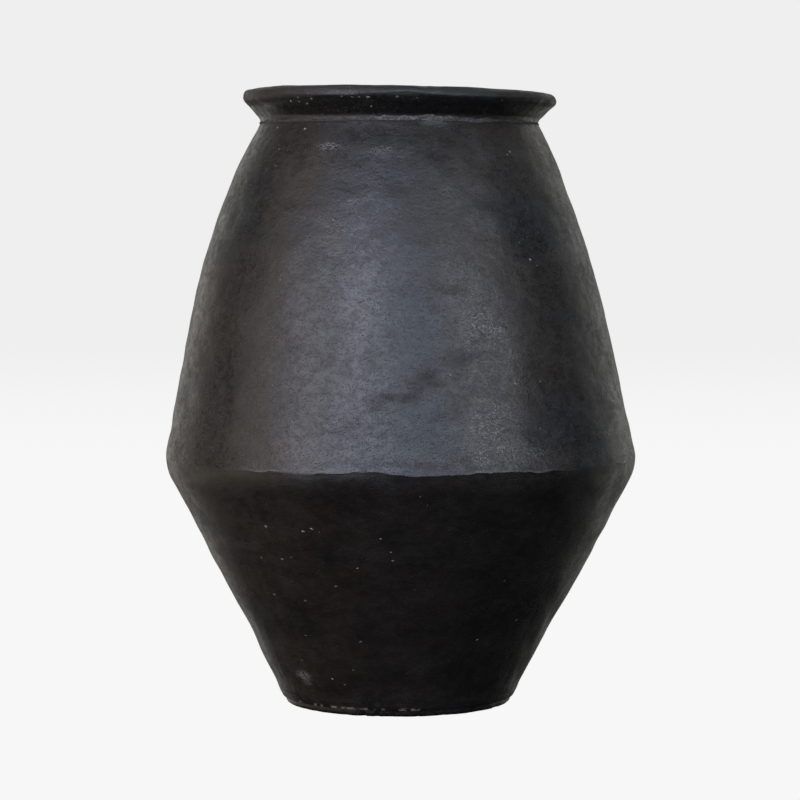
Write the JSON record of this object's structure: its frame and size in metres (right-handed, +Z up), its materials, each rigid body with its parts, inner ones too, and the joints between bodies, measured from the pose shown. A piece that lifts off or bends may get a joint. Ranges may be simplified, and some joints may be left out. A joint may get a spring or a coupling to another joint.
{
  "type": "clay pot",
  "caption": "Tall hand-built black clay floor pot: narrow flat base, straight cone up to a sharp belly line, burnished wall closing to a neck crease, short flared rim, open top.",
  "frame": {"origin": "centre of the flat underside of the base, on the pot's axis", "axes": "+Z up along the pot's axis through the middle of the mouth; the pot is round about Z, so +X and +Y are free"},
  "size_m": [0.4627, 0.4626, 0.6],
  "materials": {
    "burnished_clay": "satin",
    "smoked_clay": "satin",
    "scraped_clay": "matte",
    "inner_clay": "matte"
  },
  "bodies": {
    "root": {"base_slab": "smoked_clay", "base_seam_coil": "inner_clay", "lower_wall": "smoked_clay", "belly_seam_coil": "inner_clay", "upper_wall": "burnished_clay", "neck_seam_coil": "scraped_clay", "rim_collar": "burnished_clay"}
  },
  "joints": []
}
